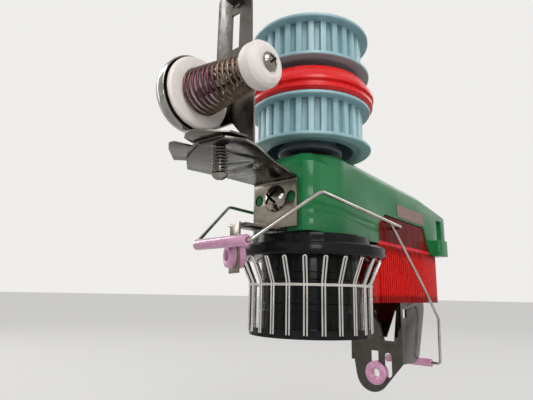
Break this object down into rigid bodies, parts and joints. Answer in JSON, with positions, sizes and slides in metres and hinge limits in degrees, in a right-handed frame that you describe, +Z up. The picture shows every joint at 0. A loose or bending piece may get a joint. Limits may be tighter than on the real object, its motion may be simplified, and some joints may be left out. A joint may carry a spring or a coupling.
{
  "type": "positive yarn feeder of a circular knitting machine",
  "caption": "Yarn feeder for a circular knitting machine: hairpin yarn wheel, cast body on a ring clamp, toothed pulleys with a clutch, yarn tensioner, red lamp cover and two feeler bails.",
  "frame": {"origin": "middle of the ring slot's roof, which rests on the machine's ring", "axes": "+Z up, along the yarn wheel's axis; -Y from the ring slot towards the yarn wheel and the inlet; +X to the right as seen from the front"},
  "size_m": [0.0846, 0.264, 0.2121],
  "materials": {
    "green_paint": "glossy green enamel on cast aluminium",
    "bright_steel": "bright zinc-plated steel",
    "label_panel": "matt brown printed foil, blank",
    "red_cover": "translucent red, ribbed",
    "lamp_glass": "frosted",
    "circuit_board": "lacquered board",
    "dark_plastic": "moulded, matt",
    "brass_pins": "turned",
    "bearing_steel": "ground",
    "black_rubber": "semi-gloss rubber",
    "folded_steel": "satin folded sheet",
    "pink_ceramic": "glazed pink oxide ceramic",
    "polished_steel": "polished sheet steel",
    "cup_chrome": "mirror chrome",
    "white_plastic": "smooth acetal",
    "spring_wire": "tempered bronze-purple spring wire",
    "feeler_wire": "bright drawn wire",
    "grey_collar": "moulded blue-grey",
    "black_plastic": "gloss black moulding",
    "pin_chrome": "hard-chromed wire",
    "yarn": "spun yarn",
    "pulley_plastic": "moulded pale teal polyamide",
    "red_plastic": "moulded red"
  },
  "bodies": {
    "housing": {"housing": "green_paint", "housing_base": "green_paint", "cover_screws": "bright_steel", "name_panel": "label_panel", "signal_lens": "red_cover", "lamp": "lamp_glass", "lamp_board": "circuit_board", "input_switch": "dark_plastic", "output_switch": "dark_plastic", "contact_carrier": "dark_plastic", "contact_pins": "brass_pins", "clamp_screw": "bright_steel", "upper_bearing": "bearing_steel", "lower_bearing": "bearing_steel", "shaft_seal": "black_rubber", "inlet_bracket": "folded_steel", "bracket_screw": "bright_steel", "eyelet_bracket": "folded_steel", "input_eyelet": "pink_ceramic", "upright_plate": "polished_steel", "upright_screw": "bright_steel", "entry_eyelet": "pink_ceramic", "tension_axle": "bright_steel", "tension_cup": "cup_chrome", "knob_screw": "bright_steel", "tension_spring": "spring_wire", "catcher_plate_upper": "polished_steel", "catcher_plate_lower": "polished_steel", "catcher_screw": "bright_steel", "catcher_spring": "bright_steel", "catcher_nut": "bright_steel", "output_plate": "polished_steel", "output_plate_screws": "bright_steel", "output_eyelet": "pink_ceramic"},
    "wheel": {"spindle": "bearing_steel", "drive_sleeve": "bearing_steel", "collar": "grey_collar", "wheel_disc": "black_plastic", "wheel_core": "black_plastic", "wheel_pins": "pin_chrome", "yarn_reserve": "yarn", "wheel_nut": "bright_steel", "top_nut": "bright_steel"},
    "lower_drive": {"lower_pulley": "pulley_plastic", "lower_pulley_bearing": "bearing_steel"},
    "upper_drive": {"upper_pulley": "pulley_plastic", "upper_pulley_bearing": "bearing_steel"},
    "clutch": {"clutch_disc": "red_plastic"},
    "input_feeler": {"input_bail": "feeler_wire", "input_tube": "pink_ceramic"},
    "output_feeler": {"output_bail": "feeler_wire", "output_tube": "pink_ceramic"},
    "disc": {"tension_disc": "white_plastic"},
    "knob": {"tension_knob": "white_plastic"}
  },
  "joints": [
    {"name": "spindle_spin", "type": "hinge", "parent": "housing", "child": "wheel", "pos_m": [0, -0.1442, 0], "axis": [0, 0, 1], "continuous": true},
    {"name": "lower_pulley_spin", "type": "hinge", "parent": "housing", "child": "lower_drive", "pos_m": [0, -0.1442, 0.032], "axis": [0, 0, 1], "continuous": true},
    {"name": "upper_pulley_spin", "type": "hinge", "parent": "housing", "child": "upper_drive", "pos_m": [0, -0.1442, 0.076], "axis": [0, 0, 1], "continuous": true},
    {"name": "clutch_shift", "type": "slide", "parent": "wheel", "child": "clutch", "axis": [0, 0, 1], "range_m": [0, 0.0042]},
    {"name": "input_bail_swing", "type": "hinge", "parent": "housing", "child": "input_feeler", "pos_m": [0, -0.0838, -0.016], "axis": [1, 0, 0], "range_deg": [-8, 0]},
    {"name": "output_bail_swing", "type": "hinge", "parent": "housing", "child": "output_feeler", "pos_m": [0, -0.0932, -0.0129], "axis": [1, 0, 0], "range_deg": [0, 10]},
    {"name": "tension_disc_spin", "type": "hinge", "parent": "housing", "child": "disc", "pos_m": [0, -0.2252, 0.0272], "axis": [1, 0, 0], "continuous": true},
    {"name": "tension_knob_adjust", "type": "slide", "parent": "housing", "child": "knob", "axis": [1, 0, 0], "range_m": [-0.006, 0], "deforming": ["tension_spring"]}
  ],
  "couplings": [
    {"joint": "lower_pulley_spin", "follows": "spindle_spin", "ratio": 1}
  ]
}
